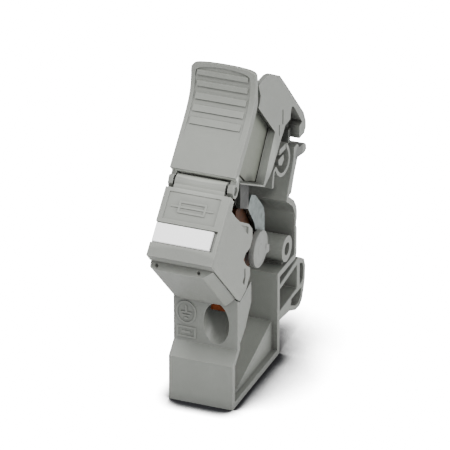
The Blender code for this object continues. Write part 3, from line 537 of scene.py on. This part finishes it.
# ----------------------------------------------------------- link disc and pins
def link_disc():
    """A disc with a rim and a raised centre, and one tooth at its edge."""
    d, l = DISC_CENTRE
    # radius, distance towards high w
    profile = [(0, 0), (4.2, 0), (4.4, 0.06), (4.5, 0.2), (4.5, 1.25), (4.44, 1.4),
               (4.3, 1.48), (4.05, 1.5), (3.9, 1.46), (3.75, 1.34), (1.6, 1.34),
               (1.45, 1.42), (1.3, 1.46), (0, 1.46)]
    disc = lathe("link_disc_look", profile, (13.5, d, l), (15.5, d, l), segments=96)
    add(disc, side([(d + 3.2, l - 2.8), (d + 5.3, l - 3.0),
                    (d + 5.5, l - 1.4), (d + 3.6, l - 0.6)], 13.9, 14.95))
    soften(disc, 0.1, 2, angle=40)
    finish(disc, LINK, "link_disc", "earth_link_disc")


def cross_pin(name, node, centre, radius, w0, w1, corner):
    """A steel pin across the width."""
    pin = lathe(name, rounded(radius, 0, w1 - w0, corner), (w0, *centre),
                (w1, *centre), segments=48)
    soften(pin, 0.05, 1, angle=60)
    finish(pin, STEEL, "body", node)


link_disc()
cross_pin("spindle_look", "disc_spindle", DISC_CENTRE, 1.3, 1.5, 13.2, corner=0.2)
cross_pin("hinge_pin_look", "lever_hinge_pin", HINGE_CENTRE, 0.8, 0.35, 15.65,
          corner=0.16)


# ------------------------------------------------------------------- the fuse
def fuse():
    """Glass tube, two end caps and the wire, on one axis in the lever."""
    tube_inset = 0.9    # from the fuse's end to the tube's end
    tube_length = FUSE_LENGTH - 2 * tube_inset
    fuse_end = FUSE_START + FUSE_LENGTH
    bore, outer, edge = 1.5, 2.15, 0.05

    def along(s):
        return (MID_W, *face(s, FUSE_BEHIND))

    tube_axis = (along(FUSE_START + tube_inset), along(fuse_end))
    glass = lathe("fuse_tube_look", [
        (bore, edge), (bore + edge, 0), (outer - edge, 0), (outer, edge),
        (outer, tube_length - edge), (outer - edge, tube_length),
        (bore + edge, tube_length), (bore, tube_length - edge)],
        *tube_axis, closed=True)
    soften(glass, 0.02, 1, angle=80, smooth=50)
    finish(glass, GLASS, "lever", "fuse_tube")

    # radius, distance from the closed end
    cap_profile = [(0, 0.04), (0.5, 0.0), (2.1, 0.0), (2.35, 0.06), (2.52, 0.2),
                   (2.6, 0.42), (2.6, 3.7), (2.56, 3.8), (2.56, 4.0), (2.6, 4.1),
                   (2.6, 4.9), (2.56, 5.0), (2.47, 5.0), (2.45, 4.9), (2.45, 0.75),
                   (2.3, 0.62), (0, 0.6)]
    for node, start, toward in (
            ("fuse_cap_lower", FUSE_START, FUSE_START + 5),
            ("fuse_cap_upper", fuse_end, FUSE_START + FUSE_LENGTH / 2)):
        cap = lathe(node + "_look", cap_profile, along(start), along(toward))
        soften(cap, 0.02, 1, angle=80, smooth=40)
        finish(cap, CAP, "lever", node)

    wire = lathe("fuse_element_look", rounded(0.16, 0.05, tube_length - 0.05, corner=0.05),
                 *tube_axis, segments=20)
    soften(wire, 0.01, 1, angle=80)
    finish(wire, TIN, "lever", "fuse_element")


fuse()

# ------------------------------------------------------------ contacts, clamps
for node, look, body, width in (
        ("contact_clip_lower", TIN, "body", 0.12),
        ("contact_clip_upper", TIN, "body", 0.12),
        ("busbar_upper", COPPER_OLD, "body", 0.1),
        ("busbar_lower", COPPER_OLD, "body", 0.1),
        ("earth_strip", COPPER_OLD, "body", 0.12),
        ("earth_contact_blade", TIN, "body", 0.1),
        ("clamp_cage_upper", TIN, "body", 0.12)):
    refit(node, look, body, width)
refit("clamp_cage_lower", COPPER, "body", 0.15,
      joined=[front(rect(8.6, 22.7, 12.8, 24.4), 5.05, 5.85)])
refit("pressure_plate_upper", STEEL, "upper_plate", 0.1)
refit("pressure_plate_lower", STEEL, "lower_plate", 0.1)


def screw(name, node, body, start, direction, head_radius, shank_radius, length,
          slot_width):
    """Slotted cheese head with a rolled thread, start at the head's outer face."""
    head_length, pitch = 1.6, 0.5
    slot_depth, slot_above, slot_reach = 0.65, 0.5, 4
    root = shank_radius - 0.2
    profile = [(0, 0), (head_radius - 0.25, 0), (head_radius - 0.1, 0.05),
               (head_radius, 0.2), (head_radius, head_length - 0.1),
               (head_radius - 0.1, head_length), (root, head_length)]
    z = head_length + 0.1
    while z < length - 0.45:
        profile += [(root, z), (shank_radius, z + pitch * 0.4),
                    (shank_radius, z + pitch * 0.55)]
        z += pitch
    profile += [(root, z), (shank_radius - 0.3, length - 0.05), (0, length)]
    toward = tuple(x + y * 10 for x, y in zip(start, direction))
    obj = lathe(name, profile, start, toward, segments=64)

    along_w = Vector((1, 0, 0))
    axis = Vector(direction)
    across = axis.cross(along_w)
    corners = [Vector(start) + across * x + axis * y
               for x, y in rect(-slot_width / 2, -slot_above, slot_width / 2, slot_depth)]
    cut(obj, between([point(*(c - along_w * slot_reach)) for c in corners],
                     [point(*(c + along_w * slot_reach)) for c in corners]))
    soften(obj, 0.04, 2, angle=50)
    finish(obj, STEEL, body, node)


screw("screw_upper_look", "clamp_screw_upper", "upper_screw",
      start=(6.9, *face(26.9, 3.4)), direction=(0, 1 / ROOT2, -1 / ROOT2),
      head_radius=1.45, shank_radius=1.0, length=5.6, slot_width=0.5)
screw("screw_lower_look", "clamp_screw_lower", "lower_screw",
      start=(10.7, 2.5, 32.0), direction=(0, 1, 0),
      head_radius=1.9, shank_radius=1.25, length=4.7, slot_width=0.6)


# ------------------------------------------------------------------ the floor
def shade_from(tree, direction, distance, from_min, from_max):
    """Occlusion seen from a leaned normal, stretched to run from 0 to 1."""
    lean = tree.add("CombineXYZ", dict(zip("XYZ", direction)))
    seen = tree.add("AmbientOcclusion", {"Distance": distance * MM, "Normal": lean},
                    samples=32)
    return tree.remap(seen.outputs["AO"], 0.0, 1.0, from_min, from_max,
                      interpolation_type="SMOOTHSTEP")


def floor_material():
    """A sheet that glows for the camera only, and less where the part shades it."""
    pale, shaded = (0.80, 0.80, 0.81), (0.02, 0.02, 0.023)
    material, tree, shader = new_material("pale_floor")
    painted_glow = tree.add("Emission")
    # painted shadow: the emission and the colour fall off where the part is near
    wide = shade_from(tree, direction=(-0.55, -0.45, 0.70), distance=34,
                      from_min=0.0, from_max=0.84)
    tight = shade_from(tree, direction=(-0.14, 0.37, 0.92), distance=6.0,
                       from_min=0.30, from_max=1.0)
    tight = tree.math("POWER", tight, 5.0)
    full_glow = 18.0
    strength = tree.product((tree.math("POWER", wide, 6.6), tight, full_glow))
    tree.feed(painted_glow, {"Strength": strength})
    lit = tree.product((tight, tree.math("POWER", wide, 2.5)))
    tree.feed(shader, {"Base Color": tree.mix(lit, shaded, pale),
                       "Roughness": 0.9, "Specular IOR Level": 0.05})
    plain = tree.add("BsdfDiffuse", {"Color": (*pale, 1)})
    path = tree.add("LightPath")
    seen = tree.add("AddShader", {0: shader, 1: painted_glow})
    chooser = tree.add("MixShader", {0: path.outputs["Is Camera Ray"], 1: plain, 2: seen})
    tree.feed(tree.nodes["Material Output"], {"Surface": chooser})
    return material


grid = bmesh.new()
bmesh.ops.create_grid(grid, x_segments=8, y_segments=8, size=3.0)
floor = mesh_object("floor", grid)
floor.data.materials.append(floor_material())

# ----------------------------------------------------- world, lights and camera
world = bpy.data.worlds.new("studio")
scene.world = world
sky = Tree(world)
# a dim fill for the piece, and a bright white background for the camera
sky_level = sky.remap(sky.add("LightPath").outputs["Is Camera Ray"],
                      to_min=0.42, to_max=20.0)
sky.feed(sky.nodes["Background"], {"Color": WHITE, "Strength": sky_level})


def softbox(name, where, size, power):
    """A rectangular light aimed at the middle of the piece, in metres and watts."""
    data = bpy.data.lights.new(name, "AREA")
    data.shape = "RECTANGLE"
    data.size, data.size_y = size
    data.energy = power
    obj = bpy.data.objects.new(name, data)
    scene.collection.objects.link(obj)
    obj.location = where
    aim = Vector((0, 0, 0.035)) - Vector(where)
    obj.rotation_euler = aim.to_track_quat("-Z", "Y").to_euler()


softbox("key", where=(-0.08, -0.34, 0.80), size=(0.28, 0.28), power=6.2)
softbox("side", where=(0.75, -0.22, 0.38), size=(0.3, 0.4), power=5.8)


def add_camera():
    """A long lens looking at (w, d, l) = (8, 20, 40), set off left and down."""
    azimuth, elevation = 0.37927648812296233, 0.47298440061502767
    left, down, distance = 1.756415025988613, 2.3845570648281385, 1160.9044596583772
    right = Vector((math.cos(azimuth), math.sin(azimuth), 0))
    forward = Vector((-math.sin(azimuth) * math.cos(elevation),
                      math.cos(azimuth) * math.cos(elevation), -math.sin(elevation)))
    up = right.cross(forward)
    eye = point(*(Vector((8, 20, 40)) - right * left - up * down - forward * distance))
    lens = bpy.data.cameras.new("camera")
    lens.lens = 400
    lens.sensor_width = 36
    lens.clip_end = 10
    camera = bpy.data.objects.new("camera", lens)
    scene.collection.objects.link(camera)
    rows = [(right[i], up[i], -forward[i], eye[i]) for i in range(3)]
    camera.matrix_world = Matrix((*rows, (0, 0, 0, 1)))
    scene.camera = camera


add_camera()
